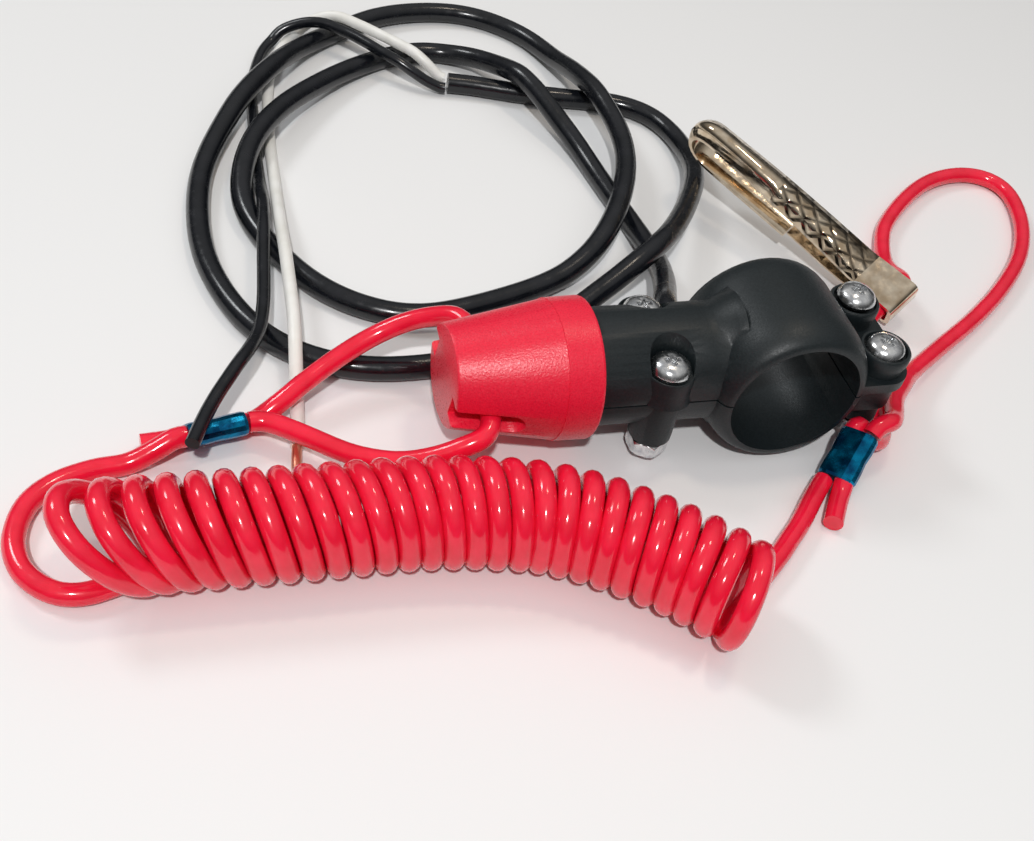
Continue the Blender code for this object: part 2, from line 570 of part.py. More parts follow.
def screw(name, at, seat, tip, holder, finish):
    """A cross-recessed pan head screw, standing on its seat with its tip below the nut."""
    rise = HEAD_HEIGHT
    profile = [(tip, 0), (tip, THREAD_RADIUS - 0.4), (tip + 0.5, THREAD_RADIUS), (seat, THREAD_RADIUS),
               (seat, HEAD_RADIUS - 0.1), (seat + 0.25 * rise, HEAD_RADIUS), (seat + 0.55 * rise, HEAD_RADIUS * 0.93),
               (seat + 0.8 * rise, HEAD_RADIUS * 0.76), (seat + 0.95 * rise, HEAD_RADIUS * 0.48),
               (seat + rise, HEAD_RADIUS * 0.2), (seat + rise, 0)]
    made = piece(name, turned(profile, "Z", 24, at), holder, finish)
    for index, arm in enumerate(cross_recess(seat + rise)):
        bmesh.ops.translate(arm, vec=at, verts=arm.verts)
        combine(made, piece(f"{name}_recess_{index}", arm, holder), "DIFFERENCE")
    return made


def nut(name, at, top, holder, finish):
    """A hexagon nut with bevelled corners, its flats across the barrel."""
    blank = rod(NUT_RADIUS, top - NUT_HEIGHT, top, "Z", at, 6, 30)
    made = piece(name, blank, holder, finish)
    cone = NUT_RADIUS * 1.02
    keep = turned([(top - NUT_HEIGHT - 0.1, 0), (top - NUT_HEIGHT - 0.1, cone - 0.5), (top - NUT_HEIGHT + 0.5, cone),
                   (top - 0.5, cone), (top + 0.1, cone - 0.5), (top + 0.1, 0)], "Z", 24, at)
    combine(made, piece(f"{name}_corners", keep, holder), "INTERSECT")
    combine(made, piece(f"{name}_hole", rod(HOLE_RADIUS, -30, 30, "Z", at, 24), holder), "DIFFERENCE")
    return made


def fasteners(holder, finish):
    seats = {
        "barrel": (barrel_screw, BARREL_POCKET_FLOOR, BARREL_FOOT_BOTTOM, 0.0),
        "clamp": (clamp_screw, CLAMP_POCKET_FLOOR, CLAMP_FOOT_BOTTOM, REAR_SCREW_PROUD),
    }
    for stem, (at, floor, foot, rear_proud) in seats.items():
        for side, word in ((FRONT, "front"), (REAR, "rear")):
            proud = rear_proud if side == REAR else 0.0
            top = -foot - GAP
            tip = top - NUT_HEIGHT - SCREW_TAIL + proud
            screw(f"{stem}_screw_{word}", at(side), floor + GAP + proud, tip, holder, finish)
            nut(f"{stem}_nut_{word}", at(side), top, holder, finish)


def plunger(holder, finish):
    """The button that the cap presses in, with its flange, stem and spring tail."""
    tail_end = STEM_REAR - TAIL_LENGTH
    profile = [
        (-TIP_END, 0), (-TIP_END, TIP_RADIUS - 0.6), (-TIP_END + 0.6, TIP_RADIUS), (-FLANGE_FRONT, TIP_RADIUS),
        (-FLANGE_FRONT, FLANGE_RADIUS), (-STEM_FRONT, FLANGE_RADIUS), (-STEM_FRONT, STEM_RADIUS),
        (-STEM_REAR, STEM_RADIUS), (-STEM_REAR, TAIL_RADIUS), (-tail_end - 0.4, TAIL_RADIUS),
        (-tail_end, TAIL_RADIUS - 0.4), (-tail_end, 0),
    ]
    return piece("plunger", turned(profile, "X", 32), holder, finish)


def contact_ring(holder, finish):
    """The brass ring on the stem that bridges the two contacts."""
    near = -CONTACT_RING_BACK
    far = near - CONTACT_RING_THICKNESS
    inner = STEM_RADIUS + GAP
    profile = [(near, inner), (near, CONTACT_RADIUS - 0.2), (near - 0.2, CONTACT_RADIUS),
               (far + 0.2, CONTACT_RADIUS), (far, CONTACT_RADIUS - 0.2), (far, inner)]
    return piece("contact_ring", turned(profile, "X", 32), holder, finish)


def plunger_spring(holder, finish):
    """A compression spring between the stem's shoulder and the chamber's end wall."""
    start = -STEM_REAR + GAP + SPRING_WIRE / 2
    end = -CHAMBER_REAR - GAP - SPRING_WIRE / 2
    steps = SPRING_TURNS * 12
    points = []
    for i in range(steps + 1):
        angle = 2 * math.pi * i / 12
        points.append((start + (end - start) * i / steps, SPRING_RADIUS * math.cos(angle),
                       SPRING_RADIUS * math.sin(angle)))
    return tube("plunger_spring", points, SPRING_WIRE / 2, holder, finish, 0)


def contact(name, side, holder, finish):
    """A bent brass strip from beside the contact ring to the wire pocket."""
    out = CONTACT_RADIUS + GAP
    inn = contact_side()
    bend = CHAMBER_REAR + 1.0
    end = WIRE_POCKET_NEAR + 1.2
    thick = CONTACT_THICKNESS
    step = BARREL_SCREW_BACK + HOLE_RADIUS + 1.6
    outline = [
        (-CONTACT_REACH, out), (-bend - 1.0, out), (-step, inn), (-end, inn), (-end, inn + thick),
        (-step - 0.1, inn + thick), (-bend - 0.8, out + thick), (-CONTACT_REACH, out + thick),
    ]
    if side == FRONT:
        outline = [(x, -y) for x, y in outline]
    return piece(name, prism(outline, -CONTACT_WIDTH / 2, CONTACT_WIDTH / 2), holder, finish)


def cap(holder, finish):
    """The moulded cap: a cone with a skirt at its mouth, a stepped hollow and the cord's way."""
    part = CAP_MOUTH + CAP_SKIRT
    collar = BARREL_REACH + GAP
    inner = NOSE_RADIUS + NOSE_BEAD + GAP
    profile = [
        (-CAP_FLOOR, 0), (-CAP_FLOOR, inner), (-collar, inner), (-collar, BARREL_RADIUS + GAP),
        (-CAP_MOUTH, BARREL_RADIUS + GAP), (-CAP_MOUTH, CAP_MOUTH_RADIUS - CAP_EDGE),
        (-CAP_MOUTH - CAP_EDGE * 0.4, CAP_MOUTH_RADIUS - CAP_EDGE * 0.2), (-CAP_MOUTH - CAP_EDGE, CAP_MOUTH_RADIUS),
        (-part, CAP_SKIRT_RADIUS + CAP_STEP), (-part, CAP_SKIRT_RADIUS),
        (-CAP_END + CAP_EDGE, CAP_END_RADIUS), (-CAP_END + CAP_EDGE * 0.3, CAP_END_RADIUS - CAP_EDGE * 0.3),
        (-CAP_END, CAP_END_RADIUS - CAP_EDGE), (-CAP_END, 0),
    ]
    made = piece("cap", turned(profile, "X"), holder, finish)
    turn = Matrix.Rotation(math.radians(CAP_TURN), 3, "X")
    hole = rod(CORD_RADIUS + GAP, -20, 20, "Y", (-CORD_HOLE_BACK, 0, 0), 20)
    slots = [cap_slot(side) for side in (FRONT, REAR)]
    for label, cutter in (("cord_hole", hole), ("front_slot", slots[0]), ("rear_slot", slots[1])):
        bmesh.ops.rotate(cutter, matrix=turn, verts=cutter.verts)
        combine(made, piece(f"cap_{label}", cutter, holder), "DIFFERENCE")
    return made


def cap_slot(side, steps=8):
    """A groove that lets the cord lie in the cap, open at the small end and round at the other."""
    radius = SLOT_WIDTH / 2
    centre = -CAP_END + SLOT_LENGTH - radius
    outline = [(-CAP_END - 2, -radius)]
    for i in range(steps + 1):
        angle = math.radians(-90 + 180 * i / steps)
        outline.append((centre + radius * math.cos(angle), radius * math.sin(angle)))
    outline.append((-CAP_END - 2, radius))
    low, high = sorted((side * SLOT_FLOOR, side * 20))
    return prism(outline, low, high, "Y")


def crimp(name, place, heading, rise, roll, holder, finish, steps=7):
    """An oval sleeve pressed over two cords, a little pinched in its middle."""
    half = CRIMP_LENGTH / 2
    round_radius = CRIMP_THICKNESS / 2
    shift = CRIMP_WIDTH / 2 - round_radius
    stations = [(-half, 0.94), (-half + 0.5, 1.0), (-half * 0.45, 1.0), (0, 0.95), (half * 0.45, 1.0),
                (half - 0.5, 1.0), (half, 0.94)]
    bm = bmesh.new()
    rings = []
    for along, size in stations:
        rim = []
        for side, first in ((1, -90), (-1, 90)):
            for i in range(steps + 1):
                angle = math.radians(first + 180 * i / steps)
                rim.append(bm.verts.new((along, (side * shift + round_radius * math.cos(angle)) * size,
                                         round_radius * math.sin(angle) * size)))
        rings.append(rim)
    loft(bm, rings)
    turn = (Matrix.Rotation(math.radians(heading), 4, "Z") @ Matrix.Rotation(math.radians(-rise), 4, "Y")
            @ Matrix.Rotation(math.radians(roll), 4, "X"))
    place_holder = empty(f"{name}_place", place, holder, turn)
    return piece(name, bm, place_holder, finish)


def loft(bm, rings):
    """Joins rings of equal count into one closed skin with flat ends."""
    for one, two in zip(rings, rings[1:]):
        for i in range(len(one)):
            j = (i + 1) % len(one)
            bm.faces.new((one[i], one[j], two[j], two[i]))
    bm.faces.new(rings[0])
    bm.faces.new(rings[-1][::-1])
    bmesh.ops.recalc_face_normals(bm, faces=bm.faces)


def clip_path():
    """Stations along the clip's strip: middle point, direction, and how far its back bows out."""
    t = CLIP_STRIP / 2
    path = []

    def arc(x, z, radius, first, last, crowns, steps):
        for i in range(steps + 1):
            share = i / steps
            angle = math.radians(first + (last - first) * share)
            crown = crowns[0] + (crowns[1] - crowns[0]) * share
            path.append((x + radius * math.cos(angle), z + radius * math.sin(angle), crown))

    corner = 1.1
    path.append((EYE_FLOOR, t, 0.0))
    arc(t + corner, t + corner, corner, 270, 180, (0, 0), 4)
    arc(t + corner, EYE_HEIGHT - t - corner, corner, 180, 90, (0, 0), 4)
    path.append((PLATE_LENGTH, EYE_HEIGHT - t, 0.0))
    bend = CLIP_HEIGHT / 2
    for share in (0.12, 0.3, 0.5, 0.75, 1.0):
        x = PLATE_LENGTH + (GRIP_END - PLATE_LENGTH) * share
        rise = (CLIP_HEIGHT - EYE_HEIGHT) * math.sin(math.pi / 2 * (x - PLATE_LENGTH) / (CLIP_LENGTH - bend - PLATE_LENGTH))
        path.append((x, EYE_HEIGHT - t + rise, GRIP_CROWN * min(1.0, share / 0.3)))
    for share in (0.08, 0.4, 0.7):
        x = GRIP_END + (CLIP_LENGTH - bend - GRIP_END) * share
        rise = (CLIP_HEIGHT - EYE_HEIGHT) * math.sin(math.pi / 2 * (x - PLATE_LENGTH) / (CLIP_LENGTH - bend - PLATE_LENGTH))
        path.append((x, EYE_HEIGHT - t + rise, ARM_CROWN))
    arc(CLIP_LENGTH - bend, bend, bend - t, 90, -90, (ARM_CROWN, 0.5), 12)
    path.append((LOWER_ARM_END + 10, t, 0.4))
    path.append((LOWER_ARM_END, t, 0.3))
    return path


def clip_hook(holder, finish, across=6):
    """The bent strip of the clip, its upper arm bowed across its width."""
    path = clip_path()
    bm = bmesh.new()
    rings = []
    for i, (x, z, crown) in enumerate(path):
        before, after = path[max(i - 1, 0)], path[min(i + 1, len(path) - 1)]
        along = Vector((after[0] - before[0], 0, after[1] - before[1])).normalized()
        out = Vector((-along.z, 0, along.x))
        rim = []
        for face, order in ((1, range(across + 1)), (-1, range(across, -1, -1))):
            for j in order:
                share = j / across
                bow = crown * (1 - (2 * share - 1) ** 2)
                rim.append(bm.verts.new(Vector((x, -CLIP_WIDTH * share, z)) + out * (bow + face * CLIP_STRIP / 2)))
        rings.append(rim)
    loft(bm, rings)
    made = piece("clip_hook", bm, holder, finish)
    for index, inner in enumerate((0.0, CLIP_WIDTH - GATE_EAR)):
        ear = ear_blank(inner)
        combine(made, piece(f"clip_ear_{index}", ear, holder), "UNION")
    x, z = GATE_PIVOT
    hole = rod(GATE_PIN_RADIUS + GAP, -CLIP_WIDTH - 2, 2, "Y", (x, 0, z), 16)
    combine(made, piece("clip_pin_hole", hole, holder), "DIFFERENCE")
    return made


def ear_blank(inner, steps=8):
    """A small ear that stands on the strip's end and carries the gate's pin."""
    x, z = GATE_PIVOT
    outline = [(EYE_FLOOR - 1.6, 0.1), (x, z - EAR_RADIUS + 0.15)]
    for i in range(steps + 1):
        angle = math.radians(-70 + 210 * i / steps)
        outline.append((x + EAR_RADIUS * math.cos(angle), z + EAR_RADIUS * math.sin(angle)))
    outline.append((EYE_FLOOR - 1.6, CLIP_STRIP - 0.1))
    return prism(outline, -inner - GATE_EAR, -inner, "Y")


def clip_gate(holder, finish, across=2):
    """The sprung gate: a strip with a knuckle round the pin, closing on the lower arm's tip."""
    px, pz = GATE_PIVOT
    low, high = -CLIP_WIDTH + GATE_EAR + GAP, -GATE_EAR - GAP
    tip = LOWER_ARM_END - GAP - px
    t = GATE_STRIP / 2
    flat = CLIP_STRIP / 2 - pz
    path = [(0.0, flat + 0.35), (2.0, flat), (6.0, flat - 0.5), (11.0, flat - 0.55), (16.0, flat - 0.1), (tip, flat)]
    bm = bmesh.new()
    rings = []
    for i, (x, z) in enumerate(path):
        before, after = path[max(i - 1, 0)], path[min(i + 1, len(path) - 1)]
        along = Vector((after[0] - before[0], 0, after[1] - before[1])).normalized()
        out = Vector((-along.z, 0, along.x))
        centre = Vector((x, 0, z))
        ends = [centre + out * t, centre - out * t]
        rings.append([bm.verts.new((p.x, y, p.z)) for p, y in
                      ((ends[0], high), (ends[0], low), (ends[1], low), (ends[1], high))])
    loft(bm, rings)
    made = piece("clip_gate", bm, holder, finish)
    knuckle = rod(GATE_KNUCKLE, low, high, "Y", sides=20)
    combine(made, piece("gate_knuckle", knuckle, holder), "UNION")
    bore = rod(GATE_PIN_RADIUS + GAP, low - 2, high + 2, "Y", sides=16)
    combine(made, piece("gate_bore", bore, holder), "DIFFERENCE")
    return made


def gate_pin(holder, finish):
    return piece("gate_pin", rod(GATE_PIN_RADIUS, -CLIP_WIDTH, 0, "Y", sides=16), holder, finish)


def build_switch(centre, black, zinc, brass, nylon, steel):
    lug = prism(lug_outline(LUG_RADIUS), 0, LUG_TOP)
    housing_half("housing_upper", lug, upper_bosses(), True, centre, black)
    lug = prism(lug_outline(LUG_FOOT_RADIUS), -LUG_BOTTOM, 0)
    housing_half("housing_lower", lug, lower_bosses(), False, centre, black)
    fasteners(centre, zinc)
    slide = empty("plunger_slide", (0, 0, 0), centre)
    plunger(slide, nylon)
    contact_ring(slide, brass)
    plunger_spring(centre, steel)
    contact("contact_front", FRONT, centre, brass)
    contact("contact_rear", REAR, centre, brass)


def build_lanyard(floor, red, blue):
    cord("cap_loop", CAP_LOOP_ROUTE, CORD_RADIUS, floor, red, 3.0)
    cord("cap_run", CAP_RUN_ROUTE, CORD_RADIUS, floor, red, 3.0)
    cord("cap_stub", CAP_STUB_ROUTE, CORD_RADIUS, floor, red, 3.0)
    crimp("cap_crimp", CAP_CRIMP_CENTRE, CAP_CRIMP_HEADING, 0, -CAP_CRIMP_ROLL, floor, blue)
    axis = [(x, y, COIL_RADIUS) for x, y in COIL_ROUTE]
    tube("lanyard_coil", smooth_route(axis, COIL_RADIUS * 0.6), COIL_RADIUS, floor, red, 5)
    cord("clip_run", CLIP_RUN_ROUTE, CORD_RADIUS, floor, red, 3.0)
    cord("clip_stub", CLIP_STUB_ROUTE, CORD_RADIUS, floor, red, 3.0)
    crimp("clip_crimp", CLIP_CRIMP_CENTRE, CLIP_CRIMP_HEADING, CLIP_CRIMP_RISE, -CLIP_CRIMP_ROLL,
          floor, blue)
    cord("clip_loop", CLIP_LOOP_ROUTE, CORD_RADIUS, floor, red, 3.0)


def build_clip(floor, nickel, steel):
    turn = (Matrix.Rotation(math.radians(CLIP_HEADING), 4, "Z") @ Matrix.Rotation(math.radians(-CLIP_RISE), 4, "Y")
            @ Matrix.Rotation(math.radians(-CLIP_ROLL), 4, "X"))
    frame = empty("clip_frame", CLIP_PLACE, floor, turn)
    clip_hook(frame, nickel)
    x, z = GATE_PIVOT
    pivot = empty("gate_pivot", (x, 0, z), frame)
    clip_gate(pivot, nickel)
    gate_pin(pivot, steel)


def build():
    clear_scene()
    black = material("housing_black", (0.022, 0.024, 0.026), 0.55)
    red_cap = material("cap_red", (0.62, 0.012, 0.03), 0.5)
    red_cord = material("cord_red", (0.66, 0.008, 0.025), 0.25)
    blue = material("crimp_blue", (0.0, 0.09, 0.24), 0.2, 0.6)
    zinc = material("zinc_plate", (0.62, 0.62, 0.6), 0.35, 1.0)
    brass = material("contact_brass", (0.78, 0.57, 0.25), 0.35, 1.0)
    nickel = material("clip_nickel", (0.62, 0.54, 0.45), 0.2, 1.0)
    steel = material("spring_steel", (0.5, 0.5, 0.5), 0.35, 1.0)
    nylon = material("plunger_nylon", (0.75, 0.74, 0.7), 0.5)
    sleeve = material("sleeve_black", (0.012, 0.013, 0.016), 0.35)
    white = material("wire_white", (0.82, 0.8, 0.74), 0.4)

    centre = empty("ring_centre", RING_PLACE)
    floor = empty("floor_under_ring", (RING_PLACE.x, RING_PLACE.y, 0))
    build_switch(centre, black, zinc, brass, nylon, steel)
    cap(empty("cap_slide", (0, 0, 0), centre), red_cap)
    build_lanyard(floor, red_cord, blue)
    build_clip(floor, nickel, steel)
    cord("cable_sleeve", SLEEVE_ROUTE, SLEEVE_RADIUS, floor, sleeve)
    cord("wire_black", BLACK_ROUTE, WIRE_RADIUS, floor, sleeve)
    cord("wire_white", WHITE_ROUTE, WIRE_RADIUS, floor, white)


build()
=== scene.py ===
"""Looks of an engine kill switch with a coiled lanyard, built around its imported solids.

The frame's own axes hold throughout: X along the barrel from the cap to the clamp screws, Y along
the handlebar, Z up. Cord sizes and routes are in millimetres, and everything else is in metres. The
cords keep close to the routes of the solids that they replace.
"""

import json
import math

import bmesh
import bpy
from mathutils import Matrix, Vector


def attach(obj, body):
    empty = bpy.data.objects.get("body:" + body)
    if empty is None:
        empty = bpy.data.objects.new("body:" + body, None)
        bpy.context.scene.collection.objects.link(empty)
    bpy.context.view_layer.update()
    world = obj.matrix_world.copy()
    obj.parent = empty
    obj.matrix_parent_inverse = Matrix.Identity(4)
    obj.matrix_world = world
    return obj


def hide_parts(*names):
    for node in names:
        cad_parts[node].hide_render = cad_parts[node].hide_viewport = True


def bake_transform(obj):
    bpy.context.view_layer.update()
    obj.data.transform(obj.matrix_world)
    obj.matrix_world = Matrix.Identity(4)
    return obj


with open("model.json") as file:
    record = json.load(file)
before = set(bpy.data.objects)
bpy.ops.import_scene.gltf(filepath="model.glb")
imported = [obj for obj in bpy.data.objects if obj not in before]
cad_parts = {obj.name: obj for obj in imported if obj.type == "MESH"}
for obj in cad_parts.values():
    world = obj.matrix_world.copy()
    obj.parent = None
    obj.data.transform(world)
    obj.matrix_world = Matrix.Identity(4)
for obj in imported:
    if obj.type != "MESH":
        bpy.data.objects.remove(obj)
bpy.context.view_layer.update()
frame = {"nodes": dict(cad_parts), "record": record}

MM = 0.001
NODES = frame["nodes"]
RING = next(Vector(m["pos_m"]) for m in frame["record"]["mounts"] if m["name"] == "handlebar")
RING_FLOOR = Vector((RING.x, RING.y, 0))

# Camera, from the ring's centre
CAMERA_PLACE = Vector((-110.0, -144.5, 143.2)) * MM
CAMERA_LOOK = Vector((0.30544, 0.65041, -0.69547))
CAMERA_UP = Vector((0.07399, 0.71195, 0.69832))
CAMERA_LENS = 47.44
CAMERA_NEAR = 0.01

# Cords
CORD_RADIUS = 1.65
COILED_RADIUS = 1.7
SLEEVE_RADIUS = 2.1
WIRE_RADIUS = 1.15
CORE_RADIUS = 0.8
CORD_STEP = 0.9
CORD_EASING = 5
CABLE_STEP = 1.2
CABLE_EASING = 24
ROUTE_PIECES = 12  # short pieces of curve from each point of a route to the next
CORD_ROUNDNESS = 7
LANYARD_ROUNDNESS = 5

# Coil of the lanyard
COIL_RADIUS = 8.4
COIL_TURNS = 27
TURN_POINTS = 28
LINE_SKIP = 3  # one point in three of the coil goes into the lanyard's line
AXIS_STEP = 0.5
COIL_END_ROOM = 1.3  # length of the coil left without turns, in radii of the cord
COIL_LEAN = 0.27  # how far each turn leans along the coil, as a share of its radius
COIL_LEAN_SHARE = 0.7  # share of the turns that lean
COIL_LEAN_SIDE = math.pi / 4  # where on a turn the lean is widest
COIL_END_LEAN = 0.4  # more lean in the first turns
COIL_END_OPENING = 0.9  # how far the first turns open towards the front
COIL_LAST_OPENING = 0.4  # how far the last turn opens the other way
COIL_FADE = 2.6  # turns over which the first turns settle
COIL_LAST_FADE = 0.9  # turns over which the last turn opens

# Snap clip, from its eye
CLIP_PLACE = Vector((37.7, 18.8, 0.9)) * MM
CLIP_ALONG = Vector((-0.5087, 0.8466, 0.1564))
CLIP_ACROSS = Vector((-0.7888, -0.3855, -0.4788))
CLIP_MIDDLE = -2.6 * MM
CLIP_REACH = 45.0 * MM
CLIP_WIDENING = 2.4 * MM
PLATE_RISE = 4.0 * MM
CROWN_RADIUS = 3.6 * MM

# Grip of the snap clip
GRIP_START = 9.5 * MM
GRIP_END = 31.5 * MM
DIAMOND_LENGTH = 4.4 * MM
DIAMOND_WIDTH = 3.0 * MM
HALF_DIAMOND = 0.5
GROOVE_DEPTH = 0.22 * MM
GROOVE_SLOPE = 4.5
# Painted shade in the diamond grooves: how strongly they are darkened, and towards which dark colour
GROOVE_SHADE_SHARE = 0.75
GROOVE_SHADE_COLOUR = (0.03, 0.022, 0.014, 1)

# Edges and seams of the finished copies
SHELL_EDGE = 0.12 * MM
SCREW_EDGE = 0.08 * MM
CLIP_EDGE = 0.15 * MM
EDGE_SEGMENTS = 2
SHARP_ANGLE = math.radians(32.0)
SHELL_SHARP_ANGLE = math.radians(45)
FLAT_ANGLE = math.radians(0.5)
SEAM_GAP = 0.002 * MM

# Patches in the finishes
PATCH_LOW = 0.35
PATCH_HIGH = 0.65
PATCH_DETAIL = 3.0

# Sockets of a colour mix
MIX_SHARE = 0
MIX_FIRST = 6
MIX_SECOND = 7
MIX_RESULT = 2

# Studio
FLOOR_HALF = 1.5
LIGHT_AIM = Vector((-0.03, 0.03, 0))
FLASH_BACK = 0.5
FLASH_SHIFT = Vector((0.03, 0.05, 0.12))
WINDOW_PLACE = Vector((-0.5, 0.5, 0.7))
LAMP_PLACE = Vector((0.1, 0.1, 0.6))
SKY_HEIGHTS = (0.25, 0.8)
SKY_STRENGTHS = (0.07, 0.50)

# Routes on the floor, from the ring's centre, with heights above the floor
SLEEVE_ROUTE = [
    (-14.9, 10.3, 14.0), (-13.3, 15.0, 13.2), (-8.4, 24.6, 8.7), (-4.3, 36.9, 4.2), (-4.1, 48.0, 2.4),
    (-6.0, 63.5, 2.17), (-7.1, 72.0, 2.7), (-9.5, 80.4, 4.4), (-12.4, 86.8, 6.3), (-14.1, 92.0, 7.4),
    (-16.7, 96.6, 7.4), (-19.8, 105.4, 4.7), (-25.9, 112.3, 2.5), (-35.1, 113.2, 2.14),
    (-46.5, 108.0, 2.3), (-58.0, 98.3, 3.5), (-68.1, 86.6, 5.0), (-75.4, 74.5, 5.0),
    (-78.8, 61.0, 3.1), (-76.7, 51.6, 2.19), (-72.9, 42.9, 2.18), (-68.6, 35.9, 2.16),
    (-61.1, 29.7, 2.14), (-51.4, 26.9, 2.13), (-36.0, 30.5, 2.24), (-24.9, 34.2, 3.0),
    (-17.7, 38.4, 4.7), (-12.1, 44.4, 6.2), (-7.0, 52.6, 6.9), (-2.6, 62.0, 6.8), (0.1, 71.7, 6.8),
    (0.4, 81.5, 7.2), (-0.8, 89.9, 7.6), (-1.8, 99.0, 6.0), (-3.3, 109.9, 3.2), (-7.5, 121.2, 2.21),
    (-17.7, 129.2, 2.17), (-29.0, 130.2, 2.23), (-40.3, 127.3, 2.3), (-50.3, 120.9, 2.14),
    (-58.9, 113.6, 3.0), (-67.0, 102.4, 5.0), (-74.3, 92.3, 4.8), (-80.4, 81.2, 3.1),
    (-84.7, 70.7, 2.24), (-86.9, 57.7, 2.13), (-87.1, 46.0, 2.13), (-85.0, 35.4, 2.12),
    (-80.8, 25.6, 2.12), (-74.1, 18.8, 2.12), (-64.7, 14.8, 2.12), (-54.0, 14.4, 2.15),
    (-44.0, 16.0, 2.13), (-33.6, 20.0, 2.4), (-25.8, 23.7, 4.0), (-18.3, 27.1, 6.9),
    (-11.1, 30.8, 9.5), (-5.4, 35.2, 9.9), (0.3, 42.0, 8.5), (5.7, 49.5, 7.0), (11.5, 59.0, 5.6),
    (14.7, 67.0, 4.2), (15.8, 74.5, 2.9), (15.6, 82.1, 2.24), (12.2, 89.6, 2.13), (5.0, 93.4, 2.12),
    (-3.5, 94.6, 2.12), (-10.5, 95.9, 2.12), (-17.7, 97.7, 2.12), (-24.3, 100.1, 2.12),
    (-29.6, 100.9, 2.12),
]
BLACK_ROUTE = [
    (-30.4, 99.6, 1.65), (-31.8, 99.8, 1.7), (-34.6, 100.7, 2.7), (-37.6, 101.9, 4.2),
    (-40.8, 103.9, 5.5), (-44.2, 107.7, 6.0), (-47.5, 112.2, 6.1), (-50.1, 116.0, 6.1),
    (-53.6, 117.2, 6.4), (-56.8, 119.1, 5.8), (-60.2, 119.9, 4.6), (-63.3, 119.9, 3.3),
    (-65.3, 118.6, 1.7), (-67.4, 114.4, 1.2), (-70.1, 105.3, 1.2), (-71.4, 101.5, 1.2),
    (-72.3, 91.3, 1.2), (-73.6, 78.5, 1.25), (-74.4, 67.2, 2.1), (-75.2, 57.2, 5.0),
    (-76.4, 48.9, 6.5), (-77.7, 40.0, 6.5), (-79.1, 29.3, 6.3), (-80.9, 20.8, 6.9), (-84.9, 11.6, 9.1),
    (-88.8, 6.5, 8.8), (-91.2, 2.6, 8.5), (-94.5, -5.0, 8.5),
]
WHITE_ROUTE = [
    (-30.1, 102.5, 2.2), (-31.6, 102.9, 2.6), (-33.9, 104.0, 4.6), (-36.4, 106.3, 6.0),
    (-39.2, 110.0, 6.1), (-42.6, 114.6, 5.9), (-46.3, 118.3, 6.0), (-50.3, 120.7, 6.1),
    (-53.6, 123.7, 4.6), (-56.9, 124.3, 2.7), (-59.7, 120.5, 1.4), (-63.3, 115.5, 1.18),
    (-66.7, 106.5, 1.2), (-68.8, 95.2, 1.18), (-70.6, 79.3, 1.29), (-71.7, 64.6, 2.3),
    (-72.9, 53.3, 4.5), (-73.6, 42.8, 6.2), (-74.3, 33.1, 6.5), (-74.9, 24.0, 6.4), (-75.6, 18.3, 5.6),
    (-76.1, 13.3, 3.4), (-76.5, 9.7, 1.65), (-76.9, 6.0, 1.2), (-77.6, 1.5, 1.2), (-78.0, -0.5, 1.2),
]
CORE_ROUTE = [(-78.0, -0.2, 1.2), (-78.6, -3.4, 1.1), (-79.1, -6.6, 1.0)]
CAP_LOOP_ROUTE = [
    (-85.21, 2.35, 4.51), (-83.45, 2.72, 4.51), (-81.0, 1.3, 4.6), (-77.1, -1.7, 4.8),
    (-70.9, -6.8, 5.25), (-64.6, -10.0, 6.3), (-59.1, -11.3, 8.2), (-54.7, -11.5, 10.2),
    (-51.7, -11.2, 11.3), (-50.3, -8.8, 11.9), (-50.0, -5.5, 12.68), (-50.0, 0.0, 14.0),
    (-50.0, 5.5, 15.32), (-50.3, 8.8, 16.1), (-51.7, 11.6, 15.8), (-53.9, 13.4, 14.4),
    (-57.8, 15.2, 12.0), (-63.1, 15.3, 9.3), (-69.5, 12.9, 7.1), (-75.8, 9.0, 5.5), (-80.0, 6.5, 3.8),
    (-83.93, 5.03, 1.79), (-85.69, 4.66, 1.79),
]
CAP_STUB_ROUTE = [(-95.39, 2.65, 1.79), (-97.15, 2.28, 1.78), (-101.4, 2.0, 1.75)]
CAP_RUN_ROUTE = [
    (-94.91, 0.34, 4.51), (-96.67, -0.03, 4.51), (-99.8, -1.1, 3.3), (-103.6, -1.9, 1.9),
    (-108.7, -2.5, 1.75), (-114.0, -4.5, 1.75), (-117.9, -8.2, 1.75), (-119.8, -13.9, 1.75),
    (-119.2, -19.2, 1.75), (-116.7, -22.9, 1.75), (-113.2, -24.9, 1.75), (-108.6, -24.6, 1.72),
]
COIL_ROUTE = [
    (-110.8, -21.2), (-95.3, -21.4), (-81.7, -21.8), (-67.4, -22.0), (-60.1, -22.5), (-52.9, -23.6),
    (-45.6, -25.4), (-38.6, -28.6), (-32.0, -32.9), (-25.8, -37.8), (-19.4, -44.6),
]
CLIP_RUN_ROUTE = [
    (-8.8, -32.9, 1.75), (-5.2, -29.7, 1.75), (-1.6, -26.4, 1.75), (2.4, -22.1, 1.75),
    (4.86, -19.59, 1.7), (6.46, -18.07, 1.75),
]
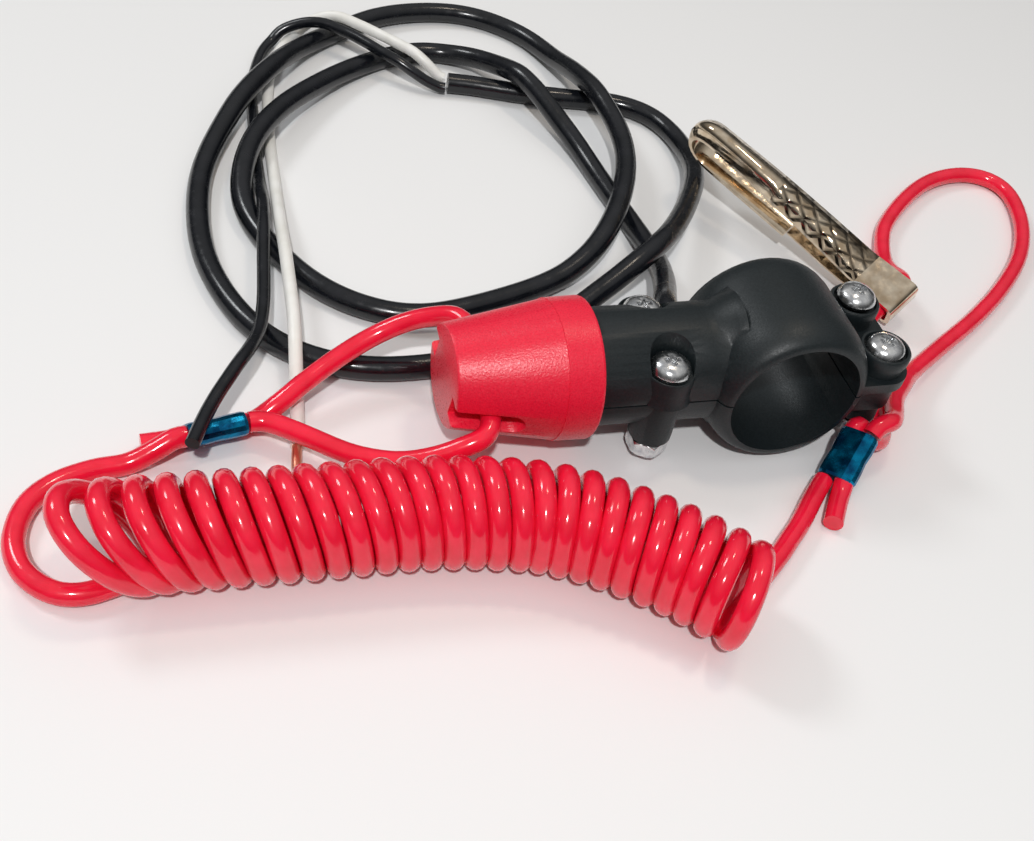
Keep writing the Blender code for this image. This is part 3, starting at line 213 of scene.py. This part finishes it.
CLIP_LOOP_ROUTE = [
    (15.04, -14.51, 7.9), (16.15, -13.44, 8.83), (18.8, -13.3, 9.0), (21.3, -10.9, 7.8),
    (24.4, -5.9, 6.6), (28.6, -1.6, 5.4), (33.8, 3.2, 3.9), (44.4, 10.5, 2.4), (56.9, 18.5, 1.76),
    (68.0, 26.7, 1.7), (78.1, 36.3, 1.7), (84.9, 46.7, 1.7), (88.0, 57.0, 1.7), (85.9, 62.8, 1.7),
    (79.6, 64.9, 1.7), (70.4, 62.7, 1.7), (60.9, 56.5, 1.7), (51.7, 47.8, 1.8), (47.5, 41.0, 1.9),
    (44.9, 35.0, 2.6), (43.4, 30.2, 4.3), (42.3, 26.2, 6.3), (41.0, 23.3, 7.3), (39.1, 22.1, 6.35),
    (35.15, 20.2, 4.0), (32.8, 19.1, 2.5), (30.6, 16.0, 1.8), (28.6, 11.0, 1.7), (26.6, 5.0, 1.7),
    (24.9, -1.6, 1.7), (23.6, -6.2, 1.75), (21.5, -10.2, 1.9), (18.9, -12.0, 3.3), (16.2, -11.9, 5.6),
    (14.4, -11.4, 7.0), (13.16, -11.63, 6.85),
]
CLIP_STUB_ROUTE = [(8.74, -20.57, 2.65), (7.64, -21.87, 1.98), (4.1, -27.1, 1.75)]


def place_camera():
    lens = bpy.data.cameras.new("camera")
    lens.lens = CAMERA_LENS
    lens.clip_start = CAMERA_NEAR
    camera = bpy.data.objects.new("camera", lens)
    bpy.context.scene.collection.objects.link(camera)
    right = CAMERA_LOOK.cross(CAMERA_UP).normalized()
    turn = Matrix((right, CAMERA_UP, -CAMERA_LOOK)).transposed()
    camera.matrix_world = Matrix.Translation(RING + CAMERA_PLACE) @ turn.to_4x4()
    bpy.context.scene.camera = camera


def smooth_route(points, step, easing=0):
    """Points about one step apart on a smooth curve through a route's points.

    Each round of easing softens the curve's bends on the floor and leaves its heights alone.
    """
    given = [Vector(p) for p in points]
    given = [2 * given[0] - given[1], *given, 2 * given[-1] - given[-2]]
    fine = []
    for a, b, c, d in zip(given, given[1:], given[2:], given[3:]):
        for i in range(ROUTE_PIECES):
            t = i / ROUTE_PIECES
            fine.append(0.5 * (2 * b + (c - a) * t + (2 * a - 5 * b + 4 * c - d) * t**2
                               + (3 * b - a - 3 * c + d) * t**3))
    fine.append(given[-2])
    total = sum((q - p).length for p, q in zip(fine, fine[1:]))
    count = max(1, round(total / step))
    marks = [total * i / count for i in range(1, count)]
    picked, walked = [fine[0]], 0.0
    for p, q in zip(fine, fine[1:]):
        length = (q - p).length
        while marks and walked + length >= marks[0]:
            picked.append(p.lerp(q, (marks.pop(0) - walked) / length))
        walked += length
    picked.append(fine[-1])
    for _ in range(easing):
        eased = [(a + 2 * b + c) / 4 for a, b, c in zip(picked, picked[1:], picked[2:])]
        level = [Vector((e.x, e.y, p.z)) for e, p in zip(eased, picked[1:])]
        picked = [picked[0], *level, picked[-1]]
    return picked


def in_frame(points):
    """A route's points in metres in the frame."""
    return [RING_FLOOR + Vector(p) * MM for p in points]


def tube(name, path, radius, finish, roundness=CORD_ROUNDNESS):
    """A round cord along points in metres, with flat ends."""
    curve = bpy.data.curves.new(name, "CURVE")
    curve.dimensions = "3D"
    curve.bevel_depth = radius * MM
    curve.bevel_resolution = roundness
    curve.use_fill_caps = True
    spline = curve.splines.new("POLY")
    spline.points.add(len(path) - 1)
    for target, point in zip(spline.points, path):
        target.co = (*point, 1.0)
    curve.materials.append(finish)
    made = bpy.data.objects.new(name, curve)
    bpy.context.scene.collection.objects.link(made)
    return made


def coil_centre():
    """The cord's own line through the curly stretch, right-handed, with its first turns leaning open."""
    radius = COIL_RADIUS - CORD_RADIUS
    axis = smooth_route([(x, y, COIL_RADIUS) for x, y in COIL_ROUTE], AXIS_STEP)
    marks = [0.0]
    for p, q in zip(axis, axis[1:]):
        marks.append(marks[-1] + (q - p).length)
    pitch = (marks[-1] - COIL_END_ROOM * COILED_RADIUS) / COIL_TURNS
    line = []
    for i in range(COIL_TURNS * TURN_POINTS + 1):
        turn = i / TURN_POINTS
        along = COILED_RADIUS + turn * pitch
        piece = max(1, next((n for n, mark in enumerate(marks) if mark >= along), len(marks) - 1))
        share = (along - marks[piece - 1]) / (marks[piece] - marks[piece - 1])
        centre = axis[piece - 1].lerp(axis[piece], share)
        ahead = (axis[piece] - axis[piece - 1]).normalized()
        front = ahead.cross(Vector((0, 0, 1)))
        angle = math.pi + 2 * math.pi * turn
        first = math.exp(-turn / COIL_FADE)
        last = math.exp((turn - COIL_TURNS) / COIL_LAST_FADE)
        lean = COIL_LEAN * max(0, 1 - turn / (COIL_LEAN_SHARE * COIL_TURNS)) + COIL_END_LEAN * first
        opening = COIL_END_OPENING * first - COIL_LAST_OPENING * last
        side = angle + COIL_LEAN_SIDE
        shift = lean * math.cos(side) + opening * math.sin(side)
        across = Vector((0, 0, math.cos(angle))) + front * math.sin(angle)
        line.append(centre + radius * (across - shift * ahead))
    return line


def lanyard_line():
    """The whole lanyard from one crimp to the other, with its coil worked out turn by turn."""
    coil = coil_centre()[::LINE_SKIP]
    return smooth_route([*CAP_RUN_ROUTE, *coil, *CLIP_RUN_ROUTE], CORD_STEP)


def build_cords(red, black, wire_black, white, copper):
    path = in_frame(lanyard_line())
    guide = tube("lanyard_guide", path, COILED_RADIUS, red, LANYARD_ROUNDNESS)
    mesh = bpy.data.meshes.new_from_object(guide.evaluated_get(bpy.context.evaluated_depsgraph_get()))
    bpy.data.objects.remove(guide)
    mesh.name = "lanyard"
    lanyard = bpy.data.objects.new("lanyard", mesh)
    bpy.context.scene.collection.objects.link(lanyard)
    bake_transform(lanyard)
    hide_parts("cap_run", "lanyard_coil", "clip_run")

    loops = (
        ("cap_cord", CAP_LOOP_ROUTE, CAP_STUB_ROUTE, "cap", ("cap_loop", "cap_stub"), "cap_crimp"),
        ("clip_cord", CLIP_LOOP_ROUTE, CLIP_STUB_ROUTE, "housing", ("clip_loop", "clip_stub"), "clip_crimp"),
    )
    for name, loop, stub, body, stood_for, crimp in loops:
        path = in_frame(smooth_route([*loop, *stub], CORD_STEP, CORD_EASING))
        cord = tube(name, path, CORD_RADIUS, red)
        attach(cord, body)
        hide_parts(*stood_for)

    cables = (
        ("cable", SLEEVE_ROUTE, SLEEVE_RADIUS, black, "cable_sleeve", "sleeve_black"),
        ("black_wire", BLACK_ROUTE, WIRE_RADIUS, wire_black, "wire_black", "wire_black"),
        ("white_wire", WHITE_ROUTE, WIRE_RADIUS, white, "wire_white", "wire_white"),
    )
    for name, route, radius, finish, node, slot in cables:
        path = in_frame(smooth_route(route, CABLE_STEP, CABLE_EASING))
        cord = tube(name, path, radius, finish)
        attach(cord, "housing")
        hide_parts(node)

    core = tube("white_wire_core", in_frame(CORE_ROUTE), CORE_RADIUS, copper)
    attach(core, "housing")


def shader_of(finish):
    return finish.node_tree.nodes["Principled BSDF"]


def new_material(name, colour, roughness, metallic=0.0):
    finish = bpy.data.materials.new(name)
    finish.use_nodes = True
    shader = shader_of(finish)
    shader.inputs["Base Color"].default_value = (*colour, 1)
    shader.inputs["Roughness"].default_value = roughness
    shader.inputs["Metallic"].default_value = metallic
    return finish


def add_node(finish, kind, **values):
    """A node whose named sockets or settings get the given values."""
    node = finish.node_tree.nodes.new(kind)
    for name, value in values.items():
        if name in node.inputs:
            node.inputs[name].default_value = value
        else:
            setattr(node, name, value)
    return node


def link(finish, source, output, target, socket):
    finish.node_tree.links.new(source.outputs[output], target.inputs[socket])


def patches(finish, scale):
    """Soft random patches that stay in place on a piece."""
    place = add_node(finish, "ShaderNodeTexCoord")
    field = add_node(finish, "ShaderNodeTexNoise", Scale=scale, Detail=PATCH_DETAIL)
    link(finish, place, "Object", field, "Vector")
    return field


def grain(finish, scale, strength, height):
    """Fine bumps all over a surface, with their height in millimetres."""
    field = patches(finish, scale)
    bump = add_node(finish, "ShaderNodeBump", Strength=strength, Distance=height * MM)
    link(finish, field, "Fac", bump, "Height")
    link(finish, bump, "Normal", shader_of(finish), "Normal")


def tint(finish, scale, low, high):
    """Two colours mixed in soft patches."""
    field = patches(finish, scale)
    ramp = add_node(finish, "ShaderNodeValToRGB")
    first, second = ramp.color_ramp.elements
    first.position = PATCH_LOW
    first.color = (*low, 1)
    second.position = PATCH_HIGH
    second.color = (*high, 1)
    link(finish, field, "Fac", ramp, "Fac")
    link(finish, ramp, "Color", shader_of(finish), "Base Color")


def roughen(finish, scale, low, high):
    """Roughness that varies in patches."""
    field = patches(finish, scale)
    reach = add_node(finish, "ShaderNodeMapRange")
    reach.inputs["From Min"].default_value = PATCH_LOW
    reach.inputs["From Max"].default_value = PATCH_HIGH
    reach.inputs["To Min"].default_value = low
    reach.inputs["To Max"].default_value = high
    link(finish, field, "Fac", reach, "Value")
    link(finish, reach, "Result", shader_of(finish), "Roughness")


def red_cord():
    """Glossy coloured plastic cord."""
    finish = new_material("red_cord", (0.86, 0.009, 0.040), roughness=0.16)
    tint(finish, scale=260, low=(0.80, 0.007, 0.034), high=(0.90, 0.012, 0.048))
    roughen(finish, scale=900, low=0.09, high=0.22)
    grain(finish, scale=1500, strength=0.2, height=0.05)
    shader = shader_of(finish)
    shader.inputs["Subsurface Weight"].default_value = 0.12
    shader.inputs["Subsurface Radius"].default_value = (1.0, 0.12, 0.12)
    shader.inputs["Subsurface Scale"].default_value = 0.6 * MM
    shader.inputs["Coat Weight"].default_value = 0.3
    shader.inputs["Coat Roughness"].default_value = 0.08
    return finish


def red_cap():
    finish = new_material("red_cap", (0.82, 0.011, 0.042), roughness=0.34)
    tint(finish, scale=3500, low=(0.76, 0.009, 0.038), high=(0.88, 0.015, 0.050))
    roughen(finish, scale=3200, low=0.24, high=0.40)
    grain(finish, scale=3600, strength=0.8, height=0.07)
    return finish


def moulded_black():
    finish = new_material("moulded_black", (0.008, 0.012, 0.014), roughness=0.45)
    tint(finish, scale=3000, low=(0.006, 0.0095, 0.011), high=(0.011, 0.016, 0.018))
    roughen(finish, scale=4000, low=0.38, high=0.52)
    grain(finish, scale=4200, strength=0.5, height=0.05)
    shader_of(finish).inputs["Specular IOR Level"].default_value = 0.4
    return finish


def sleeve_black(name):
    finish = new_material(name, (0.004, 0.005, 0.007), roughness=0.22)
    tint(finish, scale=300, low=(0.003, 0.004, 0.006), high=(0.007, 0.008, 0.011))
    roughen(finish, scale=700, low=0.16, high=0.28)
    grain(finish, scale=900, strength=0.15, height=0.04)
    return finish


def white_insulation():
    finish = new_material("white_insulation", (0.86, 0.85, 0.81), roughness=0.35)
    tint(finish, scale=200, low=(0.80, 0.79, 0.74), high=(0.90, 0.89, 0.86))
    roughen(finish, scale=900, low=0.3, high=0.45)
    grain(finish, scale=900, strength=0.2, height=0.05)
    return finish


def copper_strands():
    finish = new_material("copper_strands", (0.80, 0.40, 0.26), roughness=0.35, metallic=0.9)
    grain(finish, scale=2500, strength=0.6, height=0.08)
    return finish


def zinc():
    finish = new_material("zinc", (0.70, 0.71, 0.72), roughness=0.2, metallic=1.0)
    tint(finish, scale=900, low=(0.56, 0.57, 0.59), high=(0.86, 0.86, 0.85))
    roughen(finish, scale=1300, low=0.12, high=0.30)
    grain(finish, scale=1600, strength=0.3, height=0.04)
    return finish


def blue_metal():
    finish = new_material("blue_metal", (0.0, 0.10, 0.26), roughness=0.2, metallic=0.85)
    tint(finish, scale=420, low=(0.0, 0.05, 0.14), high=(0.0, 0.22, 0.42))
    roughen(finish, scale=900, low=0.12, high=0.3)
    grain(finish, scale=700, strength=0.35, height=0.08)
    return finish


def brass():
    finish = new_material("brass", (0.78, 0.57, 0.25), roughness=0.3, metallic=1.0)
    roughen(finish, scale=1200, low=0.2, high=0.4)
    return finish


def spring_steel():
    finish = new_material("spring_steel", (0.5, 0.5, 0.5), roughness=0.3, metallic=1.0)
    roughen(finish, scale=1500, low=0.22, high=0.4)
    return finish


def nylon():
    finish = new_material("nylon", (0.75, 0.74, 0.7), roughness=0.5)
    grain(finish, scale=1500, strength=0.2, height=0.04)
    return finish


def nickel():
    finish = new_material("nickel", (0.70, 0.56, 0.40), roughness=0.14, metallic=1.0)
    # Painted reflection: the darker and lighter patches in the base colour stand in for reflections
    tint(finish, scale=350, low=(0.56, 0.43, 0.29), high=(0.82, 0.70, 0.54))
    roughen(finish, scale=900, low=0.06, high=0.2)
    return finish


def sums(finish, operation, first, second=0.0):
    """One sum on numbers or on the outputs of other nodes."""
    node = add_node(finish, "ShaderNodeMath", operation=operation)
    for socket, value in zip(node.inputs, (first, second)):
        if isinstance(value, bpy.types.NodeSocket):
            finish.node_tree.links.new(value, socket)
        else:
            socket.default_value = value
    return node.outputs[0]


def clip_nickel():
    """Bright nickel with a crowned plate and a band of diamond grooves, which are darkened with painted
    shade.
    """
    finish = nickel()
    finish.name = "clip_nickel"
    links = finish.node_tree.links
    shader = shader_of(finish)
    place = add_node(finish, "ShaderNodeTexCoord")
    from_eye = add_node(finish, "ShaderNodeVectorMath", operation="SUBTRACT")
    from_eye.inputs[1].default_value = RING_FLOOR + CLIP_PLACE
    link(finish, place, "Object", from_eye, 0)
    reach = []
    for direction in (CLIP_ALONG, CLIP_ACROSS, CLIP_ALONG.cross(CLIP_ACROSS)):
        dot = add_node(finish, "ShaderNodeVectorMath", operation="DOT_PRODUCT")
        dot.inputs[1].default_value = direction
        link(finish, from_eye, "Vector", dot, 0)
        reach.append(dot.outputs["Value"])
    along, across, rise = reach

    long_share = sums(finish, "DIVIDE", along, DIAMOND_LENGTH)
    cross_share = sums(finish, "DIVIDE", across, DIAMOND_WIDTH)
    one_way = sums(finish, "PINGPONG", sums(finish, "ADD", long_share, cross_share), HALF_DIAMOND)
    other_way = sums(finish, "PINGPONG", sums(finish, "SUBTRACT", long_share, cross_share), HALF_DIAMOND)
    off_groove = sums(finish, "MINIMUM", one_way, other_way)
    ridge = sums(finish, "MINIMUM", sums(finish, "MULTIPLY", off_groove, GROOVE_SLOPE), 1.0)
    after = sums(finish, "GREATER_THAN", along, GRIP_START)
    before = sums(finish, "LESS_THAN", along, GRIP_END)
    on_plate = sums(finish, "GREATER_THAN", sums(finish, "ABSOLUTE", rise), PLATE_RISE)
    band = sums(finish, "MULTIPLY", sums(finish, "MULTIPLY", after, before), on_plate)
    groove = sums(finish, "MULTIPLY", sums(finish, "SUBTRACT", 1.0, ridge), band)

    off_middle = sums(finish, "SUBTRACT", across, CLIP_MIDDLE)
    crown = sums(finish, "DIVIDE", sums(finish, "MULTIPLY", off_middle, off_middle), -2 * CROWN_RADIUS)
    crowned = sums(finish, "MULTIPLY", crown, after)
    height = sums(finish, "SUBTRACT", crowned, sums(finish, "MULTIPLY", groove, GROOVE_DEPTH))
    bump = add_node(finish, "ShaderNodeBump", Strength=1.0, Distance=1.0)
    links.new(height, bump.inputs["Height"])
    link(finish, bump, "Normal", shader, "Normal")

    # This base colour carries the nickel's painted reflection patches
    colour = shader.inputs["Base Color"].links[0].from_socket
    # Painted shade: the colour in the grooves is mixed towards a dark colour
    shade = add_node(finish, "ShaderNodeMix", data_type="RGBA")
    links.new(sums(finish, "MULTIPLY", groove, GROOVE_SHADE_SHARE), shade.inputs[MIX_SHARE])
    links.new(colour, shade.inputs[MIX_FIRST])
    shade.inputs[MIX_SECOND].default_value = GROOVE_SHADE_COLOUR
    links.new(shade.outputs[MIX_RESULT], shader.inputs["Base Color"])
    return finish


def finished_copy(name, node, finish, edge, sharp_angle=SHARP_ANGLE):
    """A merged copy of a solid with small rounded edges."""
    work = bmesh.new()
    work.from_mesh(NODES[node].data)
    bmesh.ops.remove_doubles(work, verts=work.verts, dist=SEAM_GAP)
    bmesh.ops.dissolve_limit(work, angle_limit=FLAT_ANGLE, verts=work.verts, edges=work.edges)
    mesh = bpy.data.meshes.new(name)
    work.to_mesh(mesh)
    work.free()
    mesh.shade_smooth()
    mesh.set_sharp_from_angle(angle=sharp_angle)
    mesh.materials.append(finish)
    made = bpy.data.objects.new(name, mesh)
    bpy.context.scene.collection.objects.link(made)
    round_over = made.modifiers.new("edges", "BEVEL")
    round_over.width = edge
    round_over.segments = EDGE_SEGMENTS
    round_over.limit_method = "ANGLE"
    round_over.angle_limit = sharp_angle
    round_over.harden_normals = True
    body = next(b for b, members in frame["record"]["behaviour"]["bodies"].items() if node in members)
    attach(made, body)
    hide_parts(node)
    return made


def widen_eye_end(clip):
    """The flat end of the clip is a little wider than its bend."""
    for corner in clip.data.vertices:
        place = corner.co - RING_FLOOR - CLIP_PLACE
        if place.dot(CLIP_ACROSS) < CLIP_MIDDLE:
            share = max(0.0, 1 - place.dot(CLIP_ALONG) / CLIP_REACH)
            corner.co -= share * CLIP_WIDENING * CLIP_ACROSS


def paint(finish, *names):
    """One finish on solids that are shown as they are."""
    for name in names:
        mesh = NODES[name].data
        mesh.materials.clear()
        mesh.materials.append(finish)


def build_floor():
    work = bmesh.new()
    bmesh.ops.create_grid(work, x_segments=1, y_segments=1, size=FLOOR_HALF)
    mesh = bpy.data.meshes.new("floor")
    work.to_mesh(mesh)
    work.free()
    mesh.materials.append(new_material("pale_floor", (0.86, 0.86, 0.86), roughness=0.6))
    floor = bpy.data.objects.new("floor", mesh)
    bpy.context.scene.collection.objects.link(floor)


def area_light(name, place, size, power, colour=(1, 1, 1)):
    """A round lamp aimed at the middle of the object."""
    lamp = bpy.data.lights.new(name, "AREA")
    lamp.shape = "DISK"
    lamp.size = size
    lamp.energy = power
    lamp.color = colour
    holder = bpy.data.objects.new(name, lamp)
    bpy.context.scene.collection.objects.link(holder)
    holder.location = place
    holder.rotation_euler = (LIGHT_AIM - place).to_track_quat("-Z", "Y").to_euler()


def build_lights():
    world = bpy.data.worlds.new("studio")
    world.use_nodes = True
    tree = world.node_tree
    way = tree.nodes.new("ShaderNodeTexCoord")
    parts = tree.nodes.new("ShaderNodeSeparateXYZ")
    rise = tree.nodes.new("ShaderNodeMapRange")
    names = ("From Min", "From Max", "To Min", "To Max")
    for name, value in zip(names, (*SKY_HEIGHTS, *SKY_STRENGTHS)):
        rise.inputs[name].default_value = value
    tree.links.new(way.outputs["Generated"], parts.inputs[0])
    tree.links.new(parts.outputs["Z"], rise.inputs["Value"])
    tree.links.new(rise.outputs["Result"], tree.nodes["Background"].inputs["Strength"])
    tree.nodes["Background"].inputs["Color"].default_value = (1, 1, 1, 1)
    bpy.context.scene.world = world
    bpy.context.scene.view_settings.view_transform = "Standard"
    flash_place = RING + CAMERA_PLACE - FLASH_BACK * CAMERA_LOOK + FLASH_SHIFT
    area_light("flash", flash_place, size=0.035, power=3.0)
    area_light("window", WINDOW_PLACE, size=0.25, power=1.9, colour=(0.95, 0.98, 1.0))
    area_light("lamp", LAMP_PLACE, size=0.08, power=0.4, colour=(1.0, 0.86, 0.7))


place_camera()
red = red_cord()
build_cords(red, sleeve_black("sleeve_plastic"), sleeve_black("wire_plastic"), white_insulation(),
            copper_strands())
black = moulded_black()
zinc_plate = zinc()
# Nickel with painted reflection patches, used on the clip's gate
bright_nickel = nickel()
finished_copy("upper_shell", "housing_upper", black, SHELL_EDGE, SHELL_SHARP_ANGLE)
finished_copy("lower_shell", "housing_lower", black, SHELL_EDGE, SHELL_SHARP_ANGLE)
finished_copy("pull_cap", "cap", red_cap(), SHELL_EDGE)
for side in ("front", "rear"):
    for kind in ("barrel", "clamp"):
        finished_copy(f"{kind}_bolt_{side}", f"{kind}_screw_{side}", zinc_plate, SCREW_EDGE)
        finished_copy(f"{kind}_hex_{side}", f"{kind}_nut_{side}", zinc_plate, SCREW_EDGE)
paint(blue_metal(), "cap_crimp", "clip_crimp")
widen_eye_end(finished_copy("snap_hook", "clip_hook", clip_nickel(), CLIP_EDGE))
paint(bright_nickel, "clip_gate")
paint(brass(), "contact_ring", "contact_front", "contact_rear")
paint(spring_steel(), "plunger_spring", "gate_pin")
paint(nylon(), "plunger")
build_floor()
build_lights()
